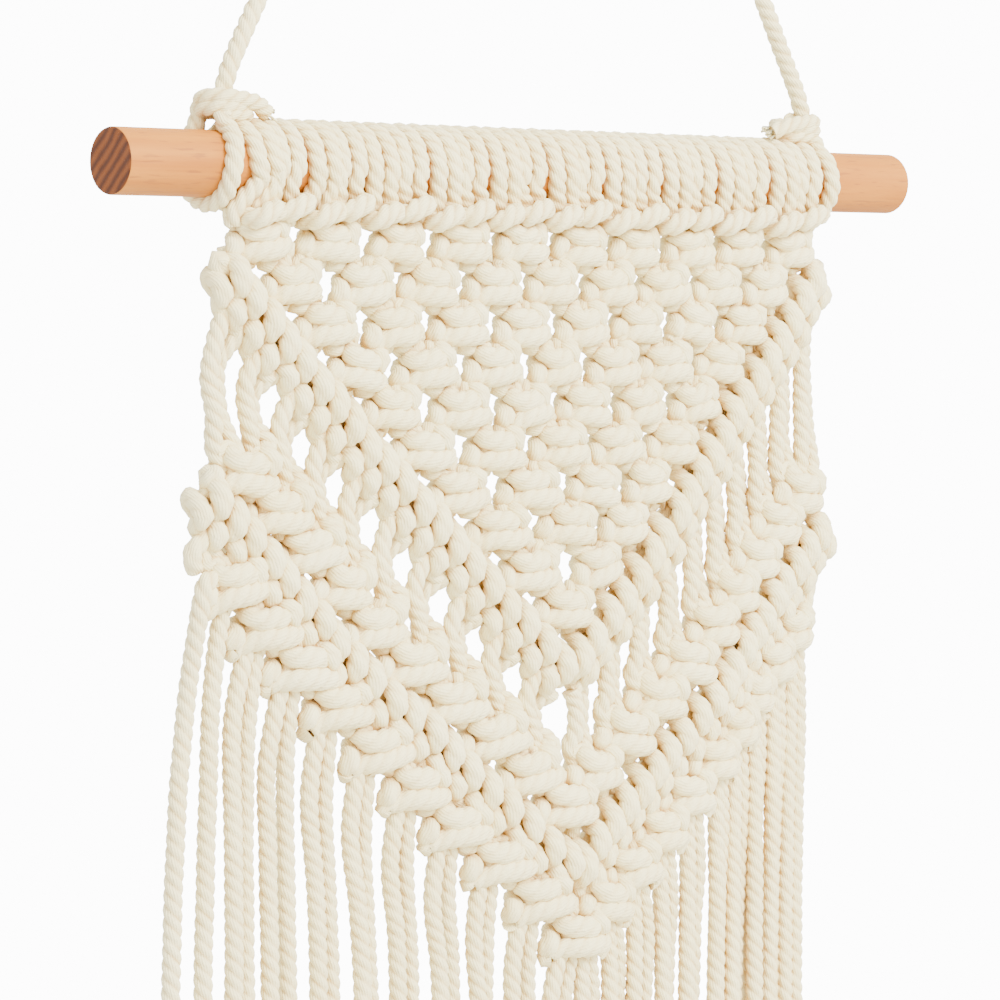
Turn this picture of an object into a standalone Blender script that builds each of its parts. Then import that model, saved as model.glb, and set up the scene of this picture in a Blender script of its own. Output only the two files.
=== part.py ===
# Macrame wall hanging on a wooden dowel, with the cord it hangs by. Metres, +Z up, front towards -Y.
# The origin is the point where the hanging cord rests on its nail.
# Twenty cotton cords are folded in half on the dowel with lark's head knots, which gives 40 strands.
# They are tied into a triangle of square knots edged with hitches, hang free in pairs, are tied
# again into a V-shaped band, and end in a fringe.
import math

import bpy

# Driving dimensions.
CORD = 0.0055
GAP = 0.0003
DOWEL_RADIUS = 0.009
DOWEL_LENGTH = 0.300
DOWEL_CHAMFER = 0.0006
DOWEL_DROP = 0.201
CORDS = 20
STRANDS = 2 * CORDS
PITCH = 0.00568
HALF_WIDTH = STRANDS / 2 * PITCH
KNOT_CENTRE = HALF_WIDTH - 2 * PITCH

# Lark's head knots: a sleeve of two turns round the dowel, with the fold's bar and the two tails.
SLEEVE_INNER = DOWEL_RADIUS + 0.0005
SLEEVE_OUTER = SLEEVE_INNER + CORD
LARK_SQUEEZE = 0.0004
BAR_CENTRE = (-0.0114, -0.0120)
BAR_RADIUS = 0.0032
TAIL_BACK = -0.0025
TAIL_FRONT = -0.0086
HEADING_BELOW = 0.0156

# Heights below the dowel's axis, at the middle and at the knots nearest the left and right edges.
LINES = {
    # name:          (middle, left edge, right edge)
    "triangle_edge": (0.1475, 0.0443, 0.0443),
    "band_top": (0.1743, 0.0760, 0.0860),
    "band_bottom": (0.2250, 0.1185, 0.1400),
}
FRINGE_END = 0.420
FRINGE_STAGGER = 0.003
FRINGE_SPINE = 0.0045
TOOTH_PAIR = 0.0078
TOOTH_SINGLE = 0.0050
NET_THICKNESS = 0.0110
PAIR_WIDTH = 0.0062
PAIR_THICKNESS = 0.0060
PAIR_CLEARANCE = 0.0006
NET_DEPTH = -0.0040

# How far the hand-tied net leans along the dowel, away from an even grid.
LEAN_ACROSS = (-HALF_WIDTH, -HALF_WIDTH / 2, 0.0, HALF_WIDTH / 2, HALF_WIDTH)
LEAN = (
    # (below,  left,    left_mid, middle,  right_mid, right)
    (0.000, (-0.0015, -0.0020, -0.0025, -0.0030, -0.0035)),
    (0.020, (-0.0030, 0.0015, 0.0030, 0.0010, -0.0035)),
    (0.066, (-0.0080, -0.0010, 0.0045, 0.0030, -0.0010)),
    (0.100, (-0.0120, -0.0040, 0.0095, 0.0080, 0.0010)),
    (0.130, (-0.0150, -0.0080, 0.0085, 0.0120, -0.0040)),
    (0.170, (-0.0180, -0.0060, 0.0075, 0.0125, -0.0050)),
    (0.220, (-0.0200, -0.0030, 0.0135, 0.0100, -0.0060)),
    (0.420, (-0.0210, -0.0040, 0.0130, 0.0060, -0.0060)),
)

# Square knots in the triangle leave small diamond holes between them; the band leaves one at its middle.
ROWS = 10
ROW_PITCH = 0.01145
FIRST_ROW = 0.0205
DIAMOND_HALF_WIDTH = 0.0024
DIAMOND_HALF_HEIGHT = 0.0022
BAND_HOLE = (0.1705, 0.0030, 0.0036)

# The left half of the hanging cord's route, from its tie up to the nail: (x, z). The right half mirrors it.
CORD_ROUTE = (
    (-0.1108, -0.1762),
    (-0.0823, -0.1250),
    (-0.0544, -0.0750),
    (-0.0265, -0.0250),
    (-0.0164, -0.0068),
    (-0.0121, -0.0017),
    (-0.0064, 0.0016),
    (0.0, CORD / 2),
)
CORD_SPACING = 0.0110

# Ties of the hanging cord: a loop round the dowel, a knot on top and a short cut end.
TIES = (
    # (name, loop_x, knot_x, cut_end_x)
    ("hanger_tie_left", -0.1182, -0.1135, -0.0970),
    ("hanger_tie_right", 0.1133, 0.1090, 0.0935),
)
TIE_KNOT = (0.0085, 0.0062, 0.0038)
TIE_KNOT_ABOVE = 0.0190
TIE_END_ABOVE = 0.0183

COTTON = (0.855, 0.810, 0.715)
BEECH = (0.745, 0.440, 0.210)


def clear_scene():
    for thing in list(bpy.data.objects):
        bpy.data.objects.remove(thing, do_unlink=True)


def make_material(name, colour, roughness):
    material = bpy.data.materials.new(name)
    material.use_nodes = True
    surface = material.node_tree.nodes["Principled BSDF"]
    surface.inputs["Base Color"].default_value = (*colour, 1.0)
    surface.inputs["Roughness"].default_value = roughness
    surface.inputs["Metallic"].default_value = 0.0
    return material


def add_part(name, data, material):
    part = bpy.data.objects.new(name, data)
    parts.objects.link(part)
    if not data.materials:
        data.materials.append(material)
    return part


def between(value, low, high, at_low, at_high):
    """The straight-line reading at value, from at_low at low to at_high at high."""
    share = min(max((value - low) / (high - low), 0.0), 1.0)
    return at_low + (at_high - at_low) * share


def lean_row(row, across):
    step = HALF_WIDTH / 2
    index = min(int((across + HALF_WIDTH) / step), len(row) - 2) if across > -HALF_WIDTH else 0
    start = LEAN_ACROSS[index]
    return between(across, start, start + step, row[index], row[index + 1])


def place(across, below):
    """The (x, z) of a point of the net, from its even place across and its depth below the dowel's axis."""
    for (upper, above_row), (lower, below_row) in zip(LEAN, LEAN[1:]):
        if below <= lower:
            break
    lean = between(below, upper, lower, lean_row(above_row, across), lean_row(below_row, across))
    return across + lean, -DOWEL_DROP - below


def line_below(name, across):
    """How far a slanting line of the net is below the dowel's axis, at an even place across."""
    middle, left, right = LINES[name]
    edge = left if across < 0 else right
    return middle + (edge - middle) * abs(across) / KNOT_CENTRE


def strand_across(number):
    return (number - (STRANDS + 1) / 2) * PITCH


def pair_across(number):
    return (number - (CORDS + 1) / 2) * 2 * PITCH


def flat_outline(name, outlines, thickness, bevel):
    """An upright flat piece: closed outlines of (x, z), the first the edge and the others holes."""
    curve = bpy.data.curves.new(name, "CURVE")
    curve.dimensions = "2D"
    curve.fill_mode = "BOTH"
    curve.extrude = thickness / 2
    for outline in outlines:
        spline = curve.splines.new("POLY")
        spline.points.add(len(outline) - 1)
        for point, (x, z) in zip(spline.points, outline):
            point.co = (x, z, 0.0, 1.0)
        spline.use_cyclic_u = True
    part = add_part(name, curve, cotton)
    part.rotation_euler = (math.pi / 2, 0.0, 0.0)
    if bevel:
        round_edges(part, bevel)
    return part


def round_edges(part, width):
    weld = part.modifiers.new("Join caps", "WELD")
    weld.merge_threshold = 0.00002
    rounding = part.modifiers.new("Round edges", "BEVEL")
    rounding.width = width
    rounding.segments = 1
    rounding.limit_method = "ANGLE"
    rounding.angle_limit = math.radians(60)


def smooth_points(route, spacing):
    """Points evenly spaced along a smooth curve through the route (Catmull-Rom)."""
    steps = 40
    padded = (route[0], *route, route[-1])
    fine = []
    for before, start, end, after in zip(padded, padded[1:], padded[2:], padded[3:]):
        for step in range(steps):
            t = step / steps
            fine.append([
                0.5 * (2 * b + (c - a) * t + (2 * a - 5 * b + 4 * c - d) * t**2 + (3 * b - a - 3 * c + d) * t**3)
                for a, b, c, d in zip(before, start, end, after)
            ])
    fine.append(route[-1])
    lengths = [math.dist(start, end) for start, end in zip(fine, fine[1:])]
    count = 2 * round(sum(lengths) / spacing / 2)
    points = []
    for number in range(count + 1):
        wanted = sum(lengths) * number / count
        index = 0
        while index < len(lengths) - 1 and wanted > lengths[index]:
            wanted -= lengths[index]
            index += 1
        share = min(wanted / lengths[index], 1.0)
        points.append([a + (b - a) * share for a, b in zip(fine[index], fine[index + 1])])
    return points


def tube(name, points, radius, sides, cyclic=False):
    curve = bpy.data.curves.new(name, "CURVE")
    curve.dimensions = "3D"
    curve.bevel_depth = radius
    curve.bevel_resolution = sides // 2 - 2
    curve.use_fill_caps = not cyclic
    spline = curve.splines.new("POLY")
    spline.points.add(len(points) - 1)
    for point, place_of_point in zip(spline.points, points):
        point.co = (*place_of_point, 1.0)
    spline.use_cyclic_u = cyclic
    return add_part(name, curve, cotton)


def make_dowel():
    bpy.ops.mesh.primitive_cylinder_add(
        vertices=48, radius=DOWEL_RADIUS, depth=DOWEL_LENGTH,
        location=(0.0, 0.0, -DOWEL_DROP), rotation=(0.0, math.pi / 2, 0.0),
    )
    dowel = bpy.context.object
    dowel.name = "dowel"
    dowel.data.name = "dowel"
    for collection in list(dowel.users_collection):
        collection.objects.unlink(dowel)
    parts.objects.link(dowel)
    dowel.data.materials.append(beech)
    rounding = dowel.modifiers.new("Eased ends", "BEVEL")
    rounding.width = DOWEL_CHAMFER
    rounding.segments = 2
    rounding.limit_method = "ANGLE"


def arc(centre, radius, start, end, steps):
    return [
        (centre[0] + radius * math.cos(math.radians(start + (end - start) * step / steps)),
         centre[1] + radius * math.sin(math.radians(start + (end - start) * step / steps)))
        for step in range(steps + 1)
    ]


def make_lark_knots():
    """Twenty knots in a row, each a ring in the plane across the dowel, with the fold's bar in front."""
    axis = (0.0, 0.0)
    sleeve = arc(axis, SLEEVE_OUTER, 262.0, 562.0, 14)
    bar = arc(BAR_CENTRE, BAR_RADIUS, 160.0, 285.0, 4)
    tails = [(TAIL_FRONT, -HEADING_BELOW), (TAIL_BACK, -HEADING_BELOW)]
    hole = arc(axis, SLEEVE_INNER, 0.0, 337.5, 15)
    width = place(pair_across(2), 0.0)[0] - place(pair_across(1), 0.0)[0] - GAP
    curve = None
    for number in range(1, CORDS + 1):
        name = f"lark_knot_{number:02d}"
        if curve is None:
            knot = flat_outline(name, [sleeve + bar + tails, hole], width, LARK_SQUEEZE)
            curve = knot.data
        else:
            knot = add_part(name, curve, cotton)
            round_edges(knot, LARK_SQUEEZE)
        knot.rotation_euler = (math.pi / 2, 0.0, math.pi / 2)
        knot.location = (place(pair_across(number), 0.0)[0], 0.0, -DOWEL_DROP)


def make_hanging_cord():
    route = [(x, 0.0, z) for x, z in CORD_ROUTE]
    route += [(-x, 0.0, z) for x, z in CORD_ROUTE[-2::-1]]
    tube("hanging_cord", smooth_points(route, CORD_SPACING), CORD / 2, 8)


def make_tie(name, loop_x, knot_x, cut_end_x):
    """The cord's loop hugs the dowel, rises into the knot and leaves a cut end lying on the heading."""
    reach = SLEEVE_INNER + CORD / 2
    loop = [(loop_x, y, -DOWEL_DROP + z) for y, z in arc((0.0, 0.0), reach, 140.0, 400.0, 16)]
    peak = -DOWEL_DROP + TIE_KNOT_ABOVE - CORD / 2
    shoulder = -DOWEL_DROP + reach
    loop += [(loop_x, 0.006, shoulder), (loop_x, 0.0025, peak), (loop_x, -0.0025, peak), (loop_x, -0.006, shoulder)]
    ring = tube(name, loop, CORD / 2, 8, cyclic=True)

    bpy.ops.mesh.primitive_uv_sphere_add(segments=14, ring_count=8, radius=1.0)
    knot = bpy.context.object
    knot.scale = TIE_KNOT
    knot.location = (knot_x, 0.0, -DOWEL_DROP + TIE_KNOT_ABOVE)
    bpy.ops.object.transform_apply(location=True, rotation=False, scale=True)

    middle = (knot_x + cut_end_x) / 2
    bpy.ops.mesh.primitive_cylinder_add(
        vertices=8, radius=CORD / 2, depth=abs(cut_end_x - knot_x),
        location=(middle, 0.0, -DOWEL_DROP + TIE_END_ABOVE), rotation=(0.0, math.pi / 2, 0.0),
    )
    cut_end = bpy.context.object
    join_pieces(ring, knot, cut_end)


def join_pieces(ring, *others):
    """Makes the ring's curve a mesh and unites the other pieces with it."""
    name = ring.name
    solid = bpy.data.meshes.new_from_object(ring.evaluated_get(bpy.context.evaluated_depsgraph_get()))
    bpy.data.objects.remove(ring, do_unlink=True)
    whole = add_part(name, solid, cotton)
    whole.name = name
    for other in others:
        for collection in list(other.users_collection):
            collection.objects.unlink(other)
        cutters.objects.link(other)
        other.hide_render = True
        other.display_type = "WIRE"
        union = whole.modifiers.new("Unite", "BOOLEAN")
        union.operation = "UNION"
        union.object = other


def diamond(across, below, half_width, half_height):
    x, z = place(across, below)
    return [(x - half_width, z), (x, z - half_height), (x + half_width, z), (x, z + half_height)]


def make_triangle():
    """The triangle of square knots with its hitched edges, one net with a hole between each two knots."""
    top = HEADING_BELOW + GAP
    half = CORDS // 2
    left = [place(-HALF_WIDTH + 2 * PITCH * k, line_below("triangle_edge", -HALF_WIDTH + 2 * PITCH * k)) for k in range(half)]
    right = [place(HALF_WIDTH - 2 * PITCH * k, line_below("triangle_edge", HALF_WIDTH - 2 * PITCH * k)) for k in range(half)]
    point = [place(0.0, line_below("triangle_edge", 0.0))]
    heading = [place(pair_across(number), top) for number in range(CORDS, 0, -1)]
    corner = place(-HALF_WIDTH, top)
    far_corner = place(HALF_WIDTH, top)
    edge = [corner] + left + point + right[::-1] + [far_corner] + heading
    holes = []
    for row in range(ROWS):
        knots = ROWS - row
        below = FIRST_ROW + ROW_PITCH * row
        for gap in range(1, knots):
            holes.append(diamond((gap - knots / 2) * 4 * PITCH, below, DIAMOND_HALF_WIDTH, DIAMOND_HALF_HEIGHT))
    net = flat_outline("knotted_triangle", [edge] + holes, NET_THICKNESS, 0.0)
    net.location.y = NET_DEPTH


def beside(across, below, side):
    """The even place whose strand hangs side metres along the dowel from the one at across."""
    leant = place(across + side, below)[0] - place(across, below)[0]
    return across + side * side / leant


def pair_end(across, name, clearance):
    """The slanting end of a pair, from its left to its right side, along one of the net's lines."""
    end = []
    for side in (-PAIR_WIDTH / 2, PAIR_WIDTH / 2):
        even = beside(across, line_below(name, across), side)
        end.append(place(even, line_below(name, even) + clearance))
    return end


def make_free_pairs():
    """The two strands of each pair hang together between the triangle's edge and the band."""
    for number in range(1, CORDS + 1):
        across = pair_across(number)
        upper = pair_end(across, "triangle_edge", PAIR_CLEARANCE)
        lower = pair_end(across, "band_top", -PAIR_CLEARANCE)
        pair = flat_outline(f"strand_pair_{number:02d}", [upper + lower[::-1]], PAIR_THICKNESS, 0.0012)
        pair.location.y = NET_DEPTH


def band_line(name, sign, shift=0.0):
    """The (x, z) points of one of the band's lines, from its left edge to its right one."""
    points = []
    for step in range(-CORDS // 2, CORDS // 2 + 1):
        across = sign * step * 2 * PITCH
        points.append(place(across, line_below(name, across) + shift))
    return points


def make_band():
    below, half_width, half_height = BAND_HOLE
    hole = diamond(0.0, below + 2 * half_height, half_width, half_height)
    edge = band_line("band_top", 1) + band_line("band_bottom", -1)
    band = flat_outline("knotted_band", [edge, hole], NET_THICKNESS, 0.0015)
    band.location.y = NET_DEPTH


def make_fringe():
    """A comb along the band's lower edge: a tooth for each pair, and the two outermost strands apart."""
    teeth = [(strand_across(STRANDS) + 0.0020, TOOTH_SINGLE), (strand_across(STRANDS - 1), TOOTH_SINGLE)]
    teeth += [(pair_across(number), TOOTH_PAIR) for number in range(CORDS - 1, 1, -1)]
    teeth += [(strand_across(2), TOOTH_SINGLE), (strand_across(1) - 0.0020, TOOTH_SINGLE)]
    comb = []
    for index, (across, width) in enumerate(teeth):
        tip = FRINGE_END - FRINGE_STAGGER * (index % 3)
        right = across + width / 2
        left = across - width / 2
        comb.append(place(right, line_below("band_bottom", right) + FRINGE_SPINE))
        comb.append(place(right, tip))
        comb.append(place(left, tip))
        comb.append(place(left, line_below("band_bottom", left) + FRINGE_SPINE))
    top = band_line("band_bottom", 1, 2 * GAP)
    fringe = flat_outline("fringe", [top + comb], CORD + 0.001, 0.0005)
    fringe.location.y = NET_DEPTH


clear_scene()
parts = bpy.data.collections.new("macrame_wall_hanging")
cutters = bpy.data.collections.new("joining_pieces")
bpy.context.scene.collection.children.link(parts)
bpy.context.scene.collection.children.link(cutters)
cotton = make_material("cotton_cord", COTTON, 0.95)
beech = make_material("beech", BEECH, 0.55)

make_dowel()
make_lark_knots()
for tie in TIES:
    make_tie(*tie)
make_hanging_cord()
make_triangle()
make_free_pairs()
make_band()
make_fringe()
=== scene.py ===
# A macrame wall hanging: natural cotton cord knotted on a beech dowel, hanging from its own cord.
import math
import random
import bpy
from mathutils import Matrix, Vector


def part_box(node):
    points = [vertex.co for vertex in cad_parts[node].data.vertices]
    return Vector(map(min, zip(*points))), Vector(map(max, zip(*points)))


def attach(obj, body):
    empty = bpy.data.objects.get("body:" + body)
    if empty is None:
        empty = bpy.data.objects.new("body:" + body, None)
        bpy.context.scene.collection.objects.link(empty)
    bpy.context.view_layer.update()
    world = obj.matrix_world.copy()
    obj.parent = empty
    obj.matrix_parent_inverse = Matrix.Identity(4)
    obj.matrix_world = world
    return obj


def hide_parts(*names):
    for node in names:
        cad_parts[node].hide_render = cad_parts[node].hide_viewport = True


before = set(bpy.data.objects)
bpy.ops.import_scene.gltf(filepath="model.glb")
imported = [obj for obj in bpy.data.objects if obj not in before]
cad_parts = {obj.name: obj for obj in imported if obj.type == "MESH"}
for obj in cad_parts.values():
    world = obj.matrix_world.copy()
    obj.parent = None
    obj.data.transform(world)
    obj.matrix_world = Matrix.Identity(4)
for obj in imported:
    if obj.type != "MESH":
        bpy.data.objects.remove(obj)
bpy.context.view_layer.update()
draw = random.Random(7)


# --- Camera and light ---------------------------------------------------------------------------
# The hanging is looked at from the left, level with its knots, through a long lens. The room lights
# it softly from all round, with one brighter lamp in front that picks out the relief of the knots.
DOWEL_Z = (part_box("dowel")[0][2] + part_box("dowel")[1][2]) / 2
LOOK_AZIMUTH = math.radians(42.57)
LOOK_DOWN = math.radians(2.36)
LENS = 159.0
camera_data = bpy.data.cameras.new("camera")
camera_data.lens = LENS
camera_data.clip_end = 20.0
camera = bpy.data.objects.new("camera", camera_data)
camera.location = (-0.8574, -0.9208, DOWEL_Z - 0.0411)
camera.rotation_euler = (math.pi / 2 - LOOK_DOWN, 0.0, -LOOK_AZIMUTH)
bpy.context.scene.collection.objects.link(camera)
bpy.context.scene.camera = camera


def area_light(name, place, target, size, power):
    data = bpy.data.lights.new(name, "AREA")
    data.shape = "DISK"
    data.size = size
    data.energy = power
    light = bpy.data.objects.new(name, data)
    light.location = place
    light.rotation_euler = (Vector(target) - Vector(place)).to_track_quat("-Z", "Y").to_euler()
    bpy.context.scene.collection.objects.link(light)


KNOTS_CENTRE = (0.0, 0.0, DOWEL_Z - 0.12)
area_light("key", (0.10, -1.6, 0.70), KNOTS_CENTRE, 0.9, 100.0)
area_light("fill", (1.4, -1.1, 0.1), KNOTS_CENTRE, 1.4, 12.0)
area_light("left", (-1.6, -0.2, -0.2), KNOTS_CENTRE, 1.4, 3.0)
world = bpy.data.worlds.new("studio")
world.use_nodes = True
world_nodes = world.node_tree.nodes
room = world_nodes["Background"]
room.inputs["Color"].default_value = (1.0, 0.985, 0.96, 1.0)
room.inputs["Strength"].default_value = 2.3
backdrop = world_nodes.new("ShaderNodeBackground")
backdrop.inputs["Strength"].default_value = 16.0
seen = world_nodes.new("ShaderNodeLightPath")
either = world_nodes.new("ShaderNodeMixShader")
world.node_tree.links.new(seen.outputs["Is Camera Ray"], either.inputs[0])
world.node_tree.links.new(room.outputs[0], either.inputs[1])
world.node_tree.links.new(backdrop.outputs[0], either.inputs[2])
world.node_tree.links.new(either.outputs[0], world_nodes["World Output"].inputs["Surface"])
bpy.context.scene.world = world


# --- Cord ---------------------------------------------------------------------------------------
# All the knotting is one kind of cord: three plies of soft cotton yarn twisted together, about
# 5.5 mm thick. Each length of it is a path that Geometry Nodes turn into a three-ply rope.
CORD = 0.0055
LAY = 0.0112
RING_SPACING = 0.0013
PLY_DEPTH = 0.22
TIGHT_PLY_DEPTH = 0.13
# How strongly the grooves between plies are marked for painted shade, for each unit of ply depth.
GROOVE_MARK = 4.5
CORNERS = 12
CURVE_STEPS = 10
PLIES = 3
YARNS_PER_PLY = 7
YARN_TURNS_PER_METRE = 1500.0


class Shade:
    """A shader socket that takes arithmetic, so that masks can be written as expressions."""

    def __init__(self, tree, socket):
        self.tree = tree
        self.socket = socket

    def maths(self, operation, first, second=0.0):
        result = self.tree.add("ShaderNodeMath", {"operation": operation}, {0: first, 1: second})
        return Shade(self.tree, result.outputs[0])

    def __add__(self, other):
        return self.maths("ADD", self, other)

    def __radd__(self, other):
        return self.maths("ADD", other, self)

    def __sub__(self, other):
        return self.maths("SUBTRACT", self, other)

    def __rsub__(self, other):
        return self.maths("SUBTRACT", other, self)

    def __mul__(self, other):
        return self.maths("MULTIPLY", self, other)

    def __rmul__(self, other):
        return self.maths("MULTIPLY", other, self)

    def __pow__(self, other):
        return self.maths("POWER", self, other)

    def sine(self):
        return self.maths("SINE", self)

    def absolute(self):
        return self.maths("ABSOLUTE", self)

    def angle_over(self, other):
        return self.maths("ARCTAN2", self, other)

    def clamp(self):
        return self.maths("MINIMUM", self.maths("MAXIMUM", self, 0.0), 1.0)


class ShadeTree:
    """A material's nodes, added one by one with their settings and their sockets' values or links."""

    def __init__(self, name):
        self.material = bpy.data.materials.new(name)
        self.material.use_nodes = True
        self.nodes = self.material.node_tree.nodes
        self.surface = self.nodes["Principled BSDF"]

    def add(self, kind, settings, sockets):
        node = self.nodes.new(kind)
        for name, value in settings.items():
            setattr(node, name, value)
        for key, value in sockets.items():
            self.join(node.inputs[key], value)
        return node

    def join(self, socket, value):
        if isinstance(value, Shade):
            value = value.socket
        if isinstance(value, bpy.types.NodeSocket):
            self.material.node_tree.links.new(value, socket)
        else:
            socket.default_value = value

    def number(self, kind, settings, sockets, output):
        return Shade(self, self.add(kind, settings, sockets).outputs[output])

    def attribute(self, name):
        return self.number("ShaderNodeAttribute", {"attribute_name": name}, {}, "Fac")

    def mix(self, factor, first, second):
        node = self.add("ShaderNodeMix", {"data_type": "RGBA"}, {0: factor, 6: first, 7: second})
        return node.outputs[2]


def cotton_material(name, crevice_shade_amount, relief):
    """Undyed cotton with painted shade: darker tan in the grooves between the plies and where ambient
    occlusion finds the cord closed in between the knots.
    """
    tree = ShadeTree(name)
    place = tree.add("ShaderNodeTexCoord", {}, {}).outputs["Object"]
    along = tree.attribute("along")
    strand = tree.attribute("strand")
    round_place = tree.add("ShaderNodeAttribute", {"attribute_name": "round"}, {}).outputs["Vector"]
    round_parts = tree.add("ShaderNodeSeparateXYZ", {}, {"Vector": round_place}).outputs
    around = Shade(tree, round_parts[1]).angle_over(round_parts[0])
    between_plies = (1.0 - tree.attribute("ply")) ** 1.6
    yarn = (around * (PLIES * YARNS_PER_PLY) - along * (math.tau * YARN_TURNS_PER_METRE)).sine()
    fluff = tree.number("ShaderNodeTexNoise", {}, {"Vector": place, "Scale": 900.0, "Detail": 3.0}, "Fac")
    # Patchy noise that only varies how strong the painted shade is.
    shade_noise = tree.number("ShaderNodeTexNoise", {}, {"Vector": place, "Scale": 210.0, "Detail": 2.0}, "Fac")
    blotch = tree.number("ShaderNodeTexNoise", {}, {"Vector": place, "Scale": 28.0, "Detail": 2.0}, "Fac")
    # Painted shade: ambient occlusion finds where the cord is closed in between knots, and the colour there
    # is mixed towards a dark tan, standing in for shade and warm bounce light. The second argument sets how
    # much, and the loose yarns get none.
    openness = tree.number("ShaderNodeAmbientOcclusion", {"samples": 6}, {"Distance": 0.006}, "AO")
    painted_crevice_shade = (1.02 - openness * 1.50).clamp() * crevice_shade_amount
    pale = (0.955, 0.865, 0.500, 1.0)
    warm = (0.910, 0.785, 0.395, 1.0)
    # The dark tan that is painted as shade in closed-in places and in the grooves between plies.
    painted_shade_tan = (0.620, 0.350, 0.070, 1.0)
    tone = (blotch * 0.9 + strand * 0.35 + fluff * 0.35 - 0.50).clamp()
    colour = tree.mix(tone, pale, warm)
    colour = tree.mix((painted_crevice_shade * (shade_noise * 0.8 + 0.45)).clamp(), colour, painted_shade_tan)
    # Painted shade in the grooves between the plies, made patchy by noise. It also presses the grooves in
    # as bump.
    groove = between_plies * (shade_noise * 1.2 - 0.15)
    colour = tree.mix(groove.clamp(), colour, painted_shade_tan)
    tree.join(tree.surface.inputs["Base Color"], colour)
    tree.surface.inputs["Roughness"].default_value = 0.95
    tree.surface.inputs["Specular IOR Level"].default_value = 0.15
    tree.surface.inputs["Sheen Weight"].default_value = 0.15
    height = yarn * 0.20 + fluff * 1.1 - groove * 0.5
    bump = tree.add("ShaderNodeBump", {}, {"Strength": relief, "Distance": 0.0006, "Height": height})
    tree.join(tree.surface.inputs["Normal"], bump.outputs["Normal"])
    return tree.material


cotton = cotton_material("cotton cord", 1.0, 0.55)
loose_cotton = cotton_material("loose cotton yarn", 0.0, 0.05)


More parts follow.
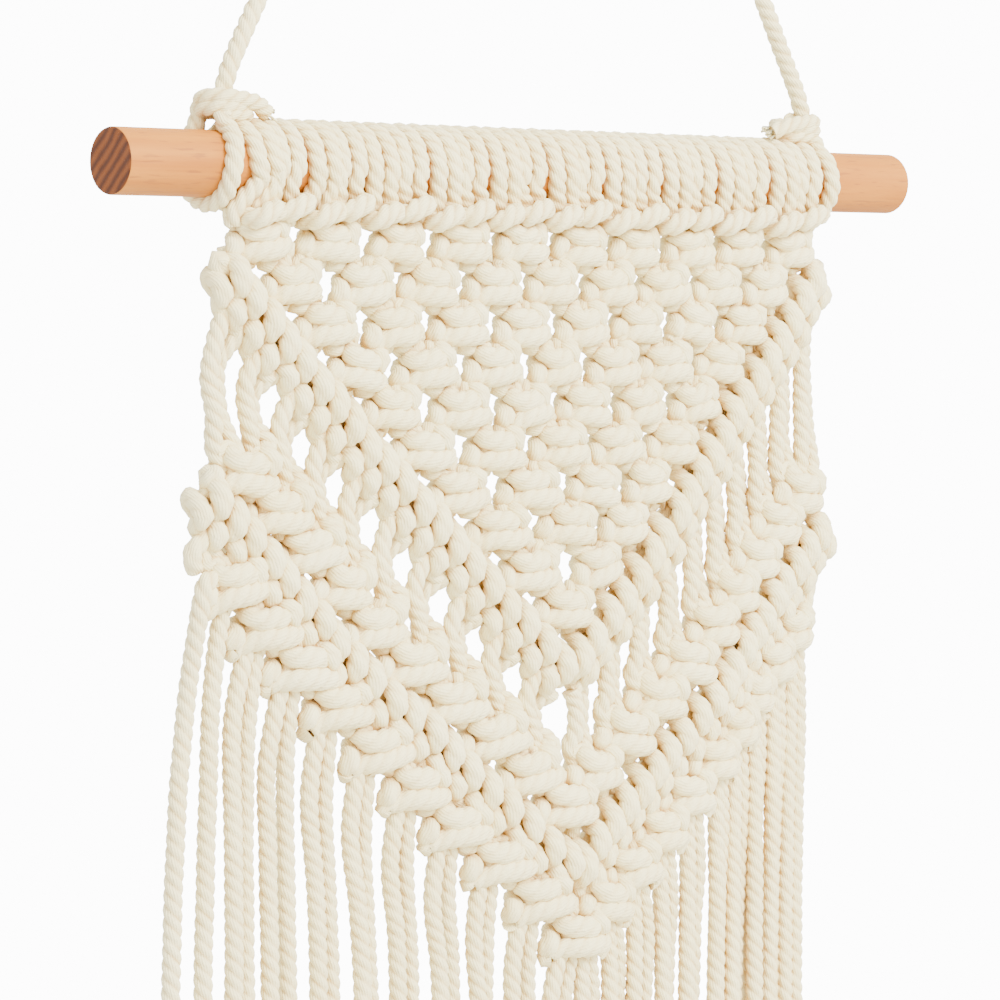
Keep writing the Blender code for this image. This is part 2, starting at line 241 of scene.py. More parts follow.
def rope_tree():
    """Follows each path at even steps, twists the section along it and sweeps a three-lobed section."""
    tree = bpy.data.node_groups.new("three-ply rope", "GeometryNodeTree")
    tree.interface.new_socket("Path", in_out="INPUT", socket_type="NodeSocketGeometry")
    for name in ("Radius", "Lay", "Spacing", "Ply depth"):
        tree.interface.new_socket(name, in_out="INPUT", socket_type="NodeSocketFloat")
    tree.interface.new_socket("Corners", in_out="INPUT", socket_type="NodeSocketInt")
    tree.interface.new_socket("Material", in_out="INPUT", socket_type="NodeSocketMaterial")
    tree.interface.new_socket("Rope", in_out="OUTPUT", socket_type="NodeSocketGeometry")
    nodes = tree.nodes

    def add(kind, settings, sockets):
        node = nodes.new(kind)
        for name, value in settings.items():
            setattr(node, name, value)
        for key, value in sockets.items():
            if isinstance(value, bpy.types.NodeSocket):
                tree.links.new(value, node.inputs[key])
            else:
                node.inputs[key].default_value = value
        return node

    def maths(operation, first, second=0.0):
        return add("ShaderNodeMath", {"operation": operation}, {0: first, 1: second}).outputs[0]

    def store(geometry, name, value, data_type="FLOAT"):
        """Keeps a value on the points under a name, for the material to read."""
        settings = {"data_type": data_type, "domain": "POINT"}
        sockets = {"Geometry": geometry, "Name": name, "Value": value}
        return add("GeometryNodeStoreNamedAttribute", settings, sockets).outputs[0]

    given = add("NodeGroupInput", {}, {}).outputs
    smooth = add("GeometryNodeCurveSplineType", {"spline_type": "CATMULL_ROM"}, {"Curve": given["Path"]})
    fine = add(
        "GeometryNodeSetSplineResolution", {}, {"Geometry": smooth.outputs[0], "Resolution": CURVE_STEPS},
    )
    even = add(
        "GeometryNodeResampleCurve", {"mode": "LENGTH"},
        {"Curve": fine.outputs[0], "Length": given["Spacing"]},
    )
    length = add("GeometryNodeSplineParameter", {}, {}).outputs["Length"]
    tilt = add("GeometryNodeInputCurveTilt", {}, {}).outputs[0]
    turn = maths("MULTIPLY", maths("DIVIDE", length, given["Lay"]), -math.tau)
    twist = maths("ADD", turn, tilt)
    twisted = add("GeometryNodeSetCurveTilt", {}, {"Curve": even.outputs[0], "Tilt": twist})
    along = store(twisted.outputs[0], "along", length)
    spline = add("GeometryNodeCurveOfPoint", {}, {}).outputs["Curve Index"]
    shade = add("FunctionNodeRandomValue", {"data_type": "FLOAT"}, {"ID": spline, "Seed": 4}).outputs[1]
    strand = store(along, "strand", shade)

    section = add(
        "GeometryNodeCurvePrimitiveCircle", {"mode": "RADIUS"},
        {"Resolution": given["Corners"], "Radius": 1.0},
    )
    share = add("GeometryNodeSplineParameter", {}, {}).outputs["Factor"]
    lobe = maths("ABSOLUTE", maths("COSINE", maths("MULTIPLY", share, PLIES * math.pi)))
    marked = maths("MINIMUM", maths("MULTIPLY", given["Ply depth"], GROOVE_MARK), 1.0)
    crown = maths("SUBTRACT", 1.0, maths("MULTIPLY", maths("SUBTRACT", 1.0, lobe), marked))
    groove = maths("MULTIPLY", given["Ply depth"], maths("SUBTRACT", lobe, 1.0))
    reach = maths("MULTIPLY", given["Radius"], maths("ADD", 1.0, groove))
    position = add("GeometryNodeInputPosition", {}, {}).outputs[0]
    around = store(section.outputs[0], "round", position, "FLOAT_VECTOR")
    # The 'ply' attribute is 0 in the grooves between plies and tells the cotton material where to paint
    # shade.
    plied = store(around, "ply", crown)
    lobed_place = add("ShaderNodeVectorMath", {"operation": "SCALE"}, {0: position, "Scale": reach})
    lobed = add("GeometryNodeSetPosition", {}, {"Geometry": plied, "Position": lobed_place.outputs[0]})

    thickness = add("GeometryNodeInputRadius", {}, {}).outputs[0]
    swept = add(
        "GeometryNodeCurveToMesh", {},
        {"Curve": strand, "Profile Curve": lobed.outputs[0], "Fill Caps": True, "Scale": thickness},
    )
    soft = add("GeometryNodeSetShadeSmooth", {}, {"Geometry": swept.outputs[0], "Shade Smooth": True})
    real = add("GeometryNodeRealizeInstances", {}, {"Geometry": soft.outputs[0]})
    painted = add(
        "GeometryNodeSetMaterial", {}, {"Geometry": real.outputs[0], "Material": given["Material"]},
    )
    add("NodeGroupOutput", {}, {"Rope": painted.outputs[0]})
    return tree


rope = rope_tree()
ROPE_SOCKETS = {
    socket.name: socket.identifier for socket in rope.interface.items_tree if socket.in_out == "INPUT"
}


def make_cord(
    name, paths, ply_depth=PLY_DEPTH, radius=CORD / 2, spacing=RING_SPACING, corners=CORNERS, look=cotton,
):
    """One piece of cord lengths, each along its own path of (x, y, z) or (x, y, z, thickness) points."""
    curve = bpy.data.curves.new(name, "CURVE")
    curve.dimensions = "3D"
    for path in paths:
        spline = curve.splines.new("POLY")
        spline.points.add(len(path) - 1)
        turn = draw.uniform(0.0, math.tau)
        for point, place in zip(spline.points, path):
            point.co = (*place[:3], 1.0)
            point.radius = place[3] if len(place) > 3 else 1.0
            point.tilt = turn
    line = bpy.data.objects.new(name + " path", curve)
    bpy.context.scene.collection.objects.link(line)
    modifier = line.modifiers.new("rope", "NODES")
    modifier.node_group = rope
    values = {
        "Radius": radius, "Lay": LAY, "Spacing": spacing, "Ply depth": ply_depth, "Corners": corners,
        "Material": look,
    }
    for socket, value in values.items():
        modifier[ROPE_SOCKETS[socket]] = value
    shape = bpy.data.meshes.new_from_object(line.evaluated_get(bpy.context.evaluated_depsgraph_get()))
    bpy.data.objects.remove(line, do_unlink=True)
    piece = bpy.data.objects.new(name, shape)
    bpy.context.scene.collection.objects.link(piece)
    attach(piece, "root")
    return piece


def curve_place(a, b, c, d, t):
    """One coordinate at the share t of the way from b to c, with a before them and d after."""
    return 0.5 * (2 * b + (c - a) * t + (2 * a - 5 * b + 4 * c - d) * t**2 + (3 * b - a - 3 * c + d) * t**3)


def smooth_path(route, spacing):
    """Points about spacing apart along a smooth curve through the route (Catmull-Rom)."""
    padded = (route[0], *route, route[-1])
    points = []
    for before, start, end, after in zip(padded, padded[1:], padded[2:], padded[3:]):
        steps = max(1, round(math.dist(start, end) / spacing))
        for step in range(steps):
            t = step / steps
            points.append(tuple(curve_place(*parts, t) for parts in zip(before, start, end, after)))
    points.append(tuple(route[-1]))
    return points


# --- Hanging cord -------------------------------------------------------------------------------
# One length of the same cord, taut from a knot at one end of the dowel over the nail to the other.
PATH_SPACING = 0.004
HANGING_ROUTE = (
    # (x, z) from the left knot up to the nail; the other half mirrors it
    (-0.1116, -0.1845),
    (-0.1100, -0.1755),
    (-0.0823, -0.1250),
    (-0.0544, -0.0750),
    (-0.0265, -0.0250),
    (-0.0164, -0.0068),
    (-0.0121, -0.0017),
    (-0.0064, 0.0016),
    (0.0, CORD / 2),
)
hanging_route = [(x, 0.0, z) for x, z in HANGING_ROUTE] + [(-x, 0.0, z) for x, z in HANGING_ROUTE[-2::-1]]
hanging_path = smooth_path(hanging_route, PATH_SPACING)
hanging_cord = make_cord("hanging_rope", [hanging_path])
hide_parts("hanging_cord")


# --- The net's layout ---------------------------------------------------------------------------
# Twenty cords folded in half give forty strands. Knots are placed on an even grid, as the maker
# counts them, and then lean sideways as the hand-tied net does.
STRANDS = 40
PITCH = 0.00568
HALF_WIDTH = STRANDS / 2 * PITCH
ROW_PITCH = 0.01145
FIRST_ROW = 0.0205
ROWS = 10
NET_Y = -0.004
PROUD = 0.001
OUTER_KNOT = 18 * PITCH
LEAN_ACROSS = (-HALF_WIDTH, -HALF_WIDTH / 2, 0.0, HALF_WIDTH / 2, HALF_WIDTH)
LEAN = (
    # (below,  left,    left_mid, middle,  right_mid, right)
    (0.000, (-0.0015, -0.0020, -0.0025, -0.0030, -0.0035)),
    (0.020, (-0.0030, 0.0015, 0.0030, 0.0010, -0.0035)),
    (0.066, (-0.0080, -0.0010, 0.0045, 0.0030, -0.0010)),
    (0.100, (-0.0120, -0.0040, 0.0095, 0.0080, 0.0010)),
    (0.130, (-0.0150, -0.0080, 0.0085, 0.0120, -0.0040)),
    (0.170, (-0.0180, -0.0060, 0.0075, 0.0125, -0.0050)),
    (0.220, (-0.0200, -0.0010, 0.0140, 0.0100, -0.0060)),
    (0.420, (-0.0210, 0.0000, 0.0150, 0.0060, -0.0060)),
)
# Depth of each knotted line below the dowel, at the middle and at its outermost knots.
LINES = {
    # name:   (middle, left, right)
    "edge": (0.1420, 0.0388, 0.0388),
    "upper": (0.1805, 0.0822, 0.0930),
    "lower": (0.2185, 0.1120, 0.1340),
}


def between(value, low, high, at_low, at_high):
    share = min(max((value - low) / (high - low), 0.0), 1.0)
    return at_low + (at_high - at_low) * share


def lean_row(row, across):
    step = HALF_WIDTH / 2
    index = min(max(int((across + HALF_WIDTH) // step), 0), len(row) - 2)
    start = LEAN_ACROSS[index]
    return between(across, start, start + step, row[index], row[index + 1])


def place(across, below, forward=0.0):
    """The point of the net at an even place across it and a depth below the dowel's axis."""
    for (upper, above_row), (lower, below_row) in zip(LEAN, LEAN[1:]):
        if below <= lower:
            break
    lean = between(below, upper, lower, lean_row(above_row, across), lean_row(below_row, across))
    return across + lean, NET_Y - forward, DOWEL_Z - below


def line_below(name, across):
    middle, left, right = LINES[name]
    edge = left if across < 0 else right
    return middle + (edge - middle) * abs(across) / OUTER_KNOT


def middle_line(across):
    return (line_below("upper", across) + line_below("lower", across)) / 2


def strand_across(number):
    return (number - (STRANDS + 1) / 2) * PITCH


def jitter(amount):
    return draw.uniform(-amount, amount)


# --- Square knots -------------------------------------------------------------------------------
# Two filler strands hang straight while the two outer strands are tied round them, left over right
# and then right over left. Each strand's way through the knot is a short list of local points.
KNOT_HEIGHT = 0.0115
KNOT_SEED = 7919
TIP_ACROSS = 0.8
KNOT_ROUTES = (
    # (across, down as a share of the knot's height, forward, thickness)
    # left worker, in front both times
    (
        (-0.0046, -0.46, 0.0012, 0.98), (-0.0046, -0.32, 0.0032, 1.05), (-0.0022, -0.20, 0.0044, 1.20),
        (0.0014, -0.19, 0.0046, 1.22), (0.0040, -0.14, 0.0020, 1.00), (0.0070, 0.08, 0.0002, 1.00),
        (0.0064, 0.18, 0.0031, 1.10), (0.0022, 0.20, 0.0045, 1.24), (-0.0018, 0.21, 0.0043, 1.20),
        (-0.0056, 0.30, 0.0020, 1.02), (-0.0080, 0.46, 0.0005, 0.98),
    ),
    # left filler
    ((-0.0023, -0.44, 0.0012, 0.98), (-0.0026, 0.0, 0.0020, 1.16), (-0.0024, 0.44, 0.0005, 0.98)),
    # right filler
    ((0.0023, -0.44, 0.0012, 0.98), (0.0022, 0.0, 0.0014, 1.10), (0.0024, 0.44, 0.0005, 0.98)),
    # right worker, over the left worker's end, behind the fillers and out in front at the left
    (
        (0.0042, -0.46, 0.0022, 0.98), (0.0050, -0.32, 0.0046, 1.08), (0.0054, -0.12, 0.0034, 1.00),
        (0.0036, -0.10, -0.0024, 0.90), (0.0000, -0.12, -0.0042, 1.00), (-0.0040, -0.10, -0.0026, 0.92),
        (-0.0066, 0.02, 0.0010, 1.00), (-0.0080, 0.14, 0.0026, 1.08), (-0.0074, 0.26, 0.0002, 1.00),
        (-0.0010, 0.20, -0.0042, 1.00), (0.0040, 0.18, -0.0026, 0.92),
        (0.0082, 0.26, 0.0012, 1.05), (0.0082, 0.46, 0.0005, 0.98),
    ),
)


def own_draw(across, below, seed):
    """Random draws that belong to one place of the net, the same for every strand that asks."""
    return random.Random(round(across * 1e5) * seed + round(below * 1e5))


def through_knot(route, across, below, size=1.0):
    """The route of one strand through the knot at an even place across and a depth below the dowel."""
    own = own_draw(across, below, KNOT_SEED)
    tip, roll = own.uniform(-0.20, 0.20), own.uniform(-0.14, 0.14)
    shift, drop = own.uniform(-0.0006, 0.0006), own.uniform(-0.0004, 0.0004)
    full = own.uniform(0.95, 1.06) * size
    points = []
    for side, down_share, forward, thickness in KNOT_ROUTES[route]:
        down = down_share * KNOT_HEIGHT
        slack = own.uniform(-0.0005, 0.0005)
        x, y, z = place(across + shift + side * full, below + drop + slack + down * size)
        points.append((
            x - down * tip, y - forward * full + side * roll, z - side * tip * TIP_ACROSS,
            thickness * size**0.5,
        ))
    return points


def knot_in_row(row, number):
    """Which knot of a row a strand is tied into: its place across and the strand's route, or None."""
    knots = ROWS - row
    index = number - 1 - 2 * row
    if not 0 <= index < 4 * knots:
        return None
    first = 2 * row + 4 * (index // 4)
    return strand_across(first + 2.5), index % 4


# --- Triangle of square knots -------------------------------------------------------------------
# Ten rows of alternating square knots, one knot fewer in each row, tied with the strands that the
# row above has left side by side.
NET_TOP = 0.0125
triangle_paths = []
last_row = {}
for number in range(1, STRANDS + 1):
    rows = [row for row in range(ROWS) if knot_in_row(row, number)]
    last_row[number] = rows[-1]
    path = [place(strand_across(number), NET_TOP, PROUD)]
    for row in rows:
        across, route = knot_in_row(row, number)
        below = FIRST_ROW + ROW_PITCH * row
        path.append(place(strand_across(number), below - ROW_PITCH / 2, PROUD))
        path += through_knot(route, across, below)
    path.append(place(strand_across(number), FIRST_ROW + ROW_PITCH * (rows[-1] + 0.5), PROUD))
    triangle_paths.append(path)
triangle = make_cord("triangle_knots", triangle_paths, TIGHT_PLY_DEPTH)
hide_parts("knotted_triangle")


# --- Lines of hitches ---------------------------------------------------------------------------
# The outermost strand turns back along the net's edge as a holding cord, and every other strand is
# tied over it with two half hitches: one long loop in front and a short one beside it.
HITCH_SEED = 104729
HOLDING_STEPS = 10
OVERLAP = 0.001
HITCH_ROUTE = (
    # (towards the middle, down, forward, thickness); the right half mirrors the left
    (0.0008, -0.0072, -0.0010, 0.95), (0.0004, -0.0052, 0.0018, 0.98), (0.0002, -0.0024, 0.0056, 1.14),
    (0.0004, 0.0012, 0.0062, 1.22), (0.0008, 0.0040, 0.0030, 1.02), (0.0006, 0.0050, -0.0012, 0.92),
    (-0.0014, 0.0020, -0.0046, 0.95), (-0.0042, -0.0010, -0.0018, 0.92), (-0.0048, 0.0016, 0.0030, 1.05),
    (-0.0046, 0.0044, 0.0044, 1.10), (-0.0040, 0.0070, 0.0012, 0.95), (-0.0014, 0.0098, 0.0004, 0.98),
)


def through_hitch(across, below):
    x, y, z = place(across, below)
    own = own_draw(across, below, HITCH_SEED)
    x += own.uniform(-0.0006, 0.0006)
    z += own.uniform(-0.0009, 0.0009)
    tip = own.uniform(-0.20, 0.16)
    side = 1.0 if across < 0 else -1.0
    return [
        (x + side * (out + down * tip), y - forward + own.uniform(-0.0003, 0.0003), z - down, thickness)
        for out, down, forward, thickness in HITCH_ROUTE
    ]


def holding_paths(line, start_below):
    """The two holding cords, each from its corner along the line and a little past the middle."""
    halves = []
    for side in (-1, 1):
        points = [place(side * (HALF_WIDTH - 0.001), start_below + 0.004, 0.0)]
        points += [place(side * (HALF_WIDTH + 0.001), line(HALF_WIDTH) - 0.002, 0.002)]
        for step in range(HOLDING_STEPS - 1, -1, -1):
            across = side * HALF_WIDTH * step / HOLDING_STEPS
            points.append(place(across, line(across), 0.0))
        points.append(place(-side * 0.004, line(0.0) + 0.003, 0.0))
        halves.append(points)
    return halves


edge_paths = holding_paths(lambda across: line_below("edge", across), line_below("edge", HALF_WIDTH))
for number in range(1, STRANDS + 1):
    across = strand_across(number)
    start = FIRST_ROW + ROW_PITCH * (last_row[number] + 0.5)
    path = [place(across, start - OVERLAP, PROUD)]
    path += through_hitch(across, line_below("edge", across))
    edge_paths.append(path)
edge = make_cord("triangle_hitches", edge_paths, TIGHT_PLY_DEPTH)
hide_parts("knotted_triangle")


# --- Free strands -------------------------------------------------------------------------------
# Between the triangle's edge and the band the strands hang free, two and two together, each down to
# the first square knot of the band that it is tied into.
PAIR_APART = 0.0052
PAIR_DEPTH = 0.0034
HITCH_REACH = 0.0085
KNOT_MARGIN = 0.0010
LEFT_SWING = -0.0048
RIGHT_SWING = 0.0012
STRAY = 0.0004
KNOTS_A_SIDE = STRANDS // 4


def band_knots(number):
    """The knots of one slanting line that a strand is tied into, in order: (place across, route)."""
    from_edge = number if number <= STRANDS / 2 else STRANDS + 1 - number
    side = -1 if number <= STRANDS / 2 else 1
    pair = (from_edge + 1) // 2
    knots = []
    for place_in_line in (pair - 1, pair):
        if 1 <= place_in_line <= KNOTS_A_SIDE:
            across = side * (STRANDS // 2 - 2 * place_in_line) * PITCH
            index = round(strand_across(number) / PITCH - across / PITCH + 1.5)
            knots.append((across, index))
    return knots


def pair_of(number):
    """The middle of the pair that a strand hangs in, and the side of the pair that it is on."""
    pair = (number + 1) // 2
    return strand_across(2 * pair - 0.5), 0.5 if number % 2 == 0 else -0.5


def free_path(number):
    across = strand_across(number)
    middle, side = pair_of(number)
    swing = LEFT_SWING if number <= STRANDS / 2 else RIGHT_SWING
    knot_across = band_knots(number)[0][0]
    start = line_below("edge", across) + HITCH_REACH
    end = line_below("upper", knot_across) - KNOT_HEIGHT / 2 - KNOT_MARGIN
    path = [place(across, start, PROUD)]
    for share in (0.25, 0.5, 0.75):
        x, y, z = place(middle, start + (end - start) * share, 0.0)
        x += swing * math.sin(math.pi * share**0.75)
        path.append((x + side * PAIR_APART + jitter(STRAY), y + side * PAIR_DEPTH + jitter(STRAY), z))
    path.append(place(across, end, PROUD))
    path.append(place(across + (knot_across - across) * 0.4, end + KNOT_HEIGHT / 2, PROUD))
    return path


free = make_cord("free_strands", [free_path(number) for number in range(1, STRANDS + 1)])
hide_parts(*[f"strand_pair_{number:02d}" for number in range(1, 21)])


# --- Band ---------------------------------------------------------------------------------------
# A slanting line of square knots, a line of hitches close under it and a second line of square
# knots, all meeting at the middle in a V. Each strand runs on through all three.
BAND_KNOT = 1.12
band_paths = holding_paths(middle_line, middle_line(HALF_WIDTH))
for number in range(1, STRANDS + 1):
    across = strand_across(number)
    path = []
    for line in ("upper", "lower"):
        knots = band_knots(number)
        first = line_below(line, knots[0][0])
        path.append(place(across, first - KNOT_HEIGHT / 2, PROUD))
        for knot_across, route in knots:
            path += through_knot(route, knot_across, line_below(line, knot_across), BAND_KNOT)
        last = line_below(line, knots[-1][0])
        path.append(place(across, last + KNOT_HEIGHT / 2, PROUD))
        if line == "upper":
            path += through_hitch(across, middle_line(across))
    band_paths.append(path)
band = make_cord("band_rope", band_paths, TIGHT_PLY_DEPTH)
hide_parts("knotted_band")


# --- Fringe -------------------------------------------------------------------------------------
# Below the band each strand hangs free to its cut end, all trimmed to about one length. The cut
# ends have come untwisted, so that their yarns spread in a short tuft.
FRINGE_END = 0.4205
TRIM = 0.003
FRINGE_STEPS = 12
SWAY_TURN = 4.0
EDGE_SWING = 0.0035
EDGE_STEP = (0.0060, 0.003, 0.0010)
YARN = 0.0009
YARN_SPACING = 0.0025
YARN_CORNERS = 6
TUFT = 0.010
TUFT_YARNS = 14
TUFT_ROOT = 0.002
TUFT_WIDTH = 0.0012
TUFT_SPREAD = 0.22


def fringe_path(number):
    across = strand_across(number)
    knot_across = band_knots(number)[-1][0]
    start = line_below("lower", knot_across) + 0.0005
    middle, side = pair_of(number)
    alone = number in (1, 2, STRANDS - 1, STRANDS)
    end = FRINGE_END + jitter(TRIM)
    depth = jitter(0.0012) if alone else side * PAIR_DEPTH + jitter(0.0010)
    sway = jitter(0.0014)
    phase = draw.uniform(0.0, math.tau)
    points = [place(across + (knot_across - across) * 0.5, start, PROUD)]
    for step in range(1, FRINGE_STEPS + 1):
        share = step / FRINGE_STEPS
        settle = min(share * 5, 1.0)
        hang = across + (middle + side * PAIR_APART - across) * (0.0 if alone else settle)
        x, y, z = place(hang, start + (end - start) * share)
        x += (sway * math.sin(phase + share * SWAY_TURN) + sway * 0.5) * settle
        if number == 1:
            x -= EDGE_SWING * settle
        points.append((x, y + depth * settle, z))
    if number == 1:
        # the outermost strand leaves its knot sideways before it drops
        out, forward, up = EDGE_STEP
        points.insert(1, (points[0][0] - out, points[0][1] - forward, points[0][2] + up))
    return smooth_path(points, PATH_SPACING)


def tuft_paths(last, tip, reach, yarns):
    """Loose yarns that spread from a cut end: a path each, going on from the cord's last points."""
    onward = (Vector(tip) - Vector(last)).normalized()
    paths = []
    for _ in range(yarns):
        aside = Vector((jitter(1.0), jitter(1.0), jitter(1.0)))
        aside -= onward * aside.dot(onward)
        start = Vector(tip) - onward * TUFT_ROOT + aside * TUFT_WIDTH
        far = reach * draw.uniform(0.6, 1.0)
        paths.append([
            tuple(start + onward * far * share + aside * far * TUFT_SPREAD * share**1.5)
            for share in (0.0, 0.35, 0.7, 1.0)
        ])
    return paths


def make_tufts(name, paths):
    return make_cord(name, paths, 0.0, YARN / 2, YARN_SPACING, YARN_CORNERS, loose_cotton)


fray_paths = []
for number in range(1, STRANDS + 1):
    tail_path = fringe_path(number)
    fray_paths += tuft_paths(tail_path[-2], tail_path[-1], TUFT, TUFT_YARNS)
    tail = make_cord(f"fringe_strand_{number:02d}", [tail_path])
    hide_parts("fringe")
frays = make_tufts("fringe_frays", fray_paths)
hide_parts("fringe")


# --- Heading ------------------------------------------------------------------------------------
# Each cord is folded in half over the dowel with a lark's head: the fold makes a bar in front, and
# both halves go round the dowel and down behind that bar.
WRAP = 0.0102
LEG_APART = 0.0029
TIE_ROOM = 0.0030
PULLS = (-0.0006, 0.0000, 0.0007)
heading_paths = []
for number in range(1, STRANDS // 2 + 1):
    aside = TIE_ROOM * max(0.0, 1.0 - (number - 1) / 4)
    centre = place(strand_across(2 * number - 0.5), 0.0)[0] + aside
    partner = 1 if number % 2 else -1
    pull = 0.0010 + draw.choice(PULLS) + jitter(0.0002)
    low = 0.0007 * partner + jitter(0.0004)
    path = []
    for side in (-1, 1):
        half_path = [
            (centre, -0.0126, -0.0120 - low, 1.12),
            (centre + side * 0.0038, -0.0108, -0.0124 - low + side * 0.0014, 1.05),
        ]
        for degrees in (285, 320, 0, 45, 90, 135, 180, 205):
            angle = math.radians(degrees)
            squeeze = pull * partner * max(0.0, -math.cos(angle)) * (1.7 if degrees > 180 else 0.8)
            x = centre + side * LEG_APART + squeeze
            half_path.append((x + jitter(0.0002), WRAP * math.cos(angle), WRAP * math.sin(angle), 1.02))
        tail_x = place(strand_across(2 * number - 0.5 + side * 0.5), 0.0145)[0]
        half_path += [(tail_x, -0.0070, -0.0120, 1.0), (tail_x, -0.0055, -0.0160, 1.0)]
        path = half_path[::-1] + path if side < 0 else path + half_path[1:]
    heading_paths.append([(x, y, DOWEL_Z + z, thick) for x, y, z, thick in path])
heading = make_cord("heading_knots", heading_paths)
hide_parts(*[f"lark_knot_{number:02d}" for number in range(1, 21)])


# --- Ties of the hanging cord -------------------------------------------------------------------
# Each end of the hanging cord goes once round the dowel and is knotted on itself, with a short
# frayed end left over.
TIE_RING = WRAP + 0.0004
TIE_KNOT_WIDE = 0.0066
TIE_KNOT_DEEP = 0.0050
TIE_KNOT_LOW = 0.0128
TIE_KNOT_RISE = 0.00062
TIE_TUFT = 0.005
TIE_TUFT_YARNS = 16


def tie_path(loop_x, knot_x, inward, end_x, tilt):
    """From inside the knot, round behind the dowel and up in front, twice round the knot and out."""
    points = [(knot_x, 0.0015, 0.0185, 0.85), (knot_x - inward * 0.0035, 0.0050, 0.0165, 0.90)]
    for degrees in (65, 30, 350, 310, 270, 230, 190, 150, 120):
        angle = math.radians(degrees)
        lean = tilt * max(0.0, math.sin(angle)) * (1.0 if math.cos(angle) < 0 else -0.3)
        points.append((loop_x + lean, TIE_RING * math.cos(angle), TIE_RING * math.sin(angle), 1.0))
    for quarter in range(9):
        angle = math.radians(235 + 90 * quarter)
        x = knot_x + inward * TIE_KNOT_WIDE * math.cos(angle)
        height = TIE_KNOT_LOW + TIE_KNOT_RISE * quarter
        points.append((x, TIE_KNOT_DEEP * math.sin(angle), height, 0.92))
    points.append((knot_x + inward * TIE_KNOT_WIDE, -TIE_KNOT_DEEP, 0.0165, 0.90))
    points.append((end_x, -0.0030, 0.0142, 0.95))
    return [(x, y, DOWEL_Z + z, thick) for x, y, z, thick in points]


left_tie_path = tie_path(loop_x=-0.1170, knot_x=-0.1118, inward=1.0, end_x=-0.1000, tilt=0.0030)
left_tie = make_cord("left_tie", [left_tie_path])
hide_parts("hanger_tie_left")
right_tie_path = tie_path(loop_x=0.1140, knot_x=0.1085, inward=-1.0, end_x=0.0960, tilt=-0.0015)
right_tie = make_cord("right_tie", [right_tie_path])
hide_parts("hanger_tie_right")
for side, path in (("left", left_tie_path), ("right", right_tie_path)):
    yarn_paths = tuft_paths(path[-2][:3], path[-1][:3], TIE_TUFT, TIE_TUFT_YARNS)
    tie_fray = make_tufts(f"{side}_tie_fray", yarn_paths)
    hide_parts(f"hanger_tie_{side}")


# --- Dowel --------------------------------------------------------------------------------------
# A plain round beech rod, sanded and not varnished, with its ends sawn square and lightly eased. The
# end grain is darker than the long grain.
DOWEL_HALF = (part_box("dowel")[1][0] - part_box("dowel")[0][0]) / 2
END_CUT = 0.0003


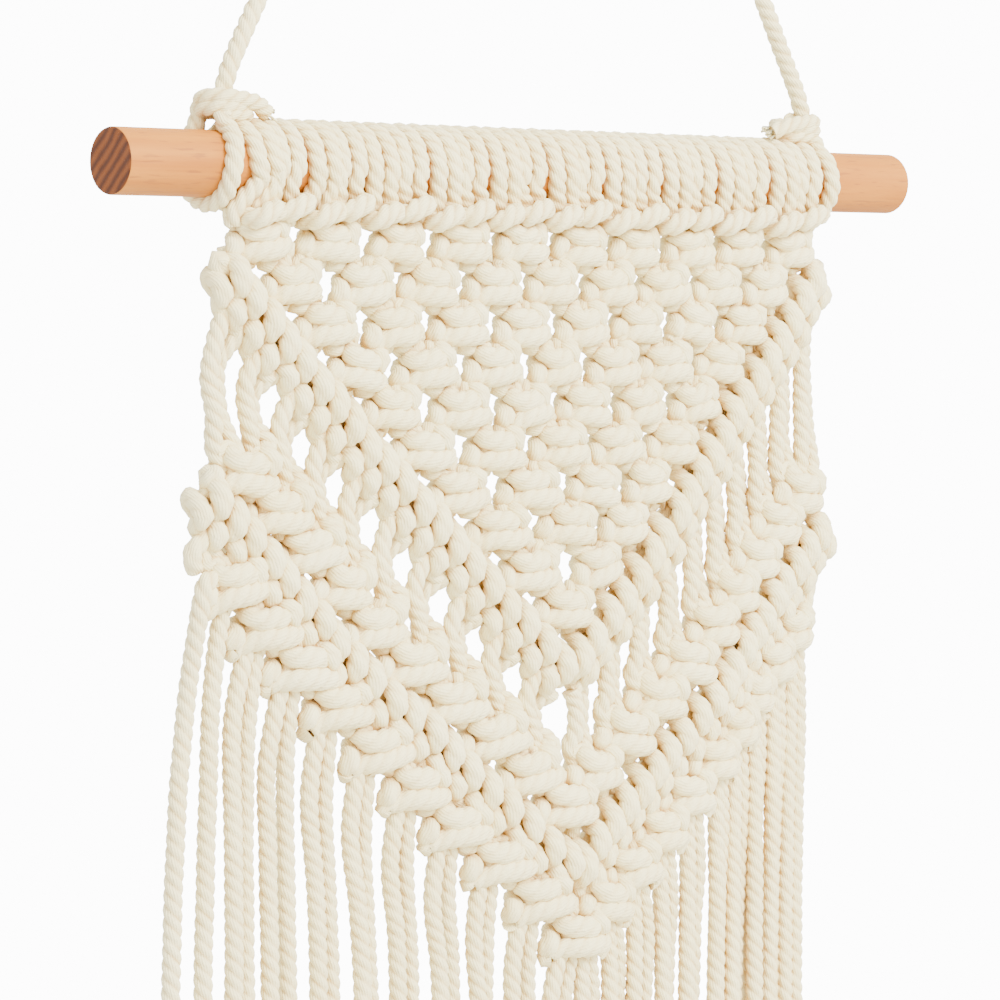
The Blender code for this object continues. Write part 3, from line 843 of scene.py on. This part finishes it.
def beech_material():
    pale_wood, dark_wood = (0.550, 0.205, 0.018, 1.0), (0.410, 0.130, 0.009, 1.0)
    fleck_brown = (0.260, 0.085, 0.020, 1.0)
    end_wood, end_ring = (0.170, 0.045, 0.005, 1.0), (0.060, 0.014, 0.002, 1.0)
    tree = ShadeTree("beech")
    coordinates = tree.add("ShaderNodeTexCoord", {}, {}).outputs["Object"]
    from_axis = {"Vector": coordinates, "Location": (0.0, 0.0, -DOWEL_Z)}
    centred = tree.add("ShaderNodeMapping", {}, from_axis).outputs[0]
    grain_scale = {"Vector": centred, "Scale": (7.0, 90.0, 90.0)}
    grain_place = tree.add("ShaderNodeMapping", {}, grain_scale).outputs[0]
    fleck_scale = {"Vector": centred, "Scale": (130.0, 1100.0, 1100.0)}
    fleck_place = tree.add("ShaderNodeMapping", {}, fleck_scale).outputs[0]
    grain_noise = {"Vector": grain_place, "Scale": 3.0, "Detail": 5.0}
    grain = tree.number("ShaderNodeTexNoise", {}, grain_noise, "Fac")
    fleck_noise = {"Vector": fleck_place, "Scale": 1.0, "Detail": 1.0}
    flecks = tree.number("ShaderNodeTexNoise", {}, fleck_noise, "Fac")
    marks = ((flecks - 0.60) * 9.0).clamp()
    colour = tree.mix((grain * 2.0 - 0.55).clamp(), pale_wood, dark_wood)
    colour = tree.mix(marks * 0.5, colour, fleck_brown)
    rings = tree.number("ShaderNodeTexWave", {"bands_direction": "DIAGONAL"}, {
        "Vector": centred, "Scale": 150.0, "Distortion": 2.0, "Detail": 3.0,
    }, "Fac")
    end_colour = tree.mix(rings, end_wood, end_ring)
    lengthwise = Shade(tree, tree.add("ShaderNodeSeparateXYZ", {}, {"Vector": centred}).outputs[0])
    end = ((lengthwise.absolute() - (DOWEL_HALF - END_CUT)) * 20000.0).clamp()
    colour = tree.mix(end, colour, end_colour)
    tree.join(tree.surface.inputs["Base Color"], colour)
    tree.join(tree.surface.inputs["Roughness"], grain * 0.25 + 0.45)
    tree.surface.inputs["Specular IOR Level"].default_value = 0.25
    height = grain + marks * -0.4
    bump = tree.add("ShaderNodeBump", {}, {"Strength": 0.25, "Distance": 0.0004, "Height": height})
    tree.join(tree.surface.inputs["Normal"], bump.outputs["Normal"])
    return tree.material


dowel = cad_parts["dowel"]
dowel.data.materials.clear()
dowel.data.materials.append(beech_material())


# --- Floor --------------------------------------------------------------------------------------
# A plain pale floor, smooth and matt, well below the hanging: it hangs on its nail and never
# touches it.
FLOOR_Z = -1.1
bpy.ops.mesh.primitive_circle_add(vertices=96, radius=1.6, fill_type="NGON", location=(0.0, 0.0, FLOOR_Z))
floor = bpy.context.object
floor.name = "floor"
floor_tree = ShadeTree("pale floor")
floor_place = floor_tree.add("ShaderNodeTexCoord", {}, {}).outputs["Object"]
floor_noise = floor_tree.number("ShaderNodeTexNoise", {}, {"Vector": floor_place, "Scale": 40.0}, "Fac")
floor_tree.join(
    floor_tree.surface.inputs["Base Color"],
    floor_tree.mix(floor_noise, (0.80, 0.79, 0.77, 1.0), (0.84, 0.83, 0.81, 1.0)),
)
floor_tree.surface.inputs["Roughness"].default_value = 0.9
floor.data.materials.append(floor_tree.material)
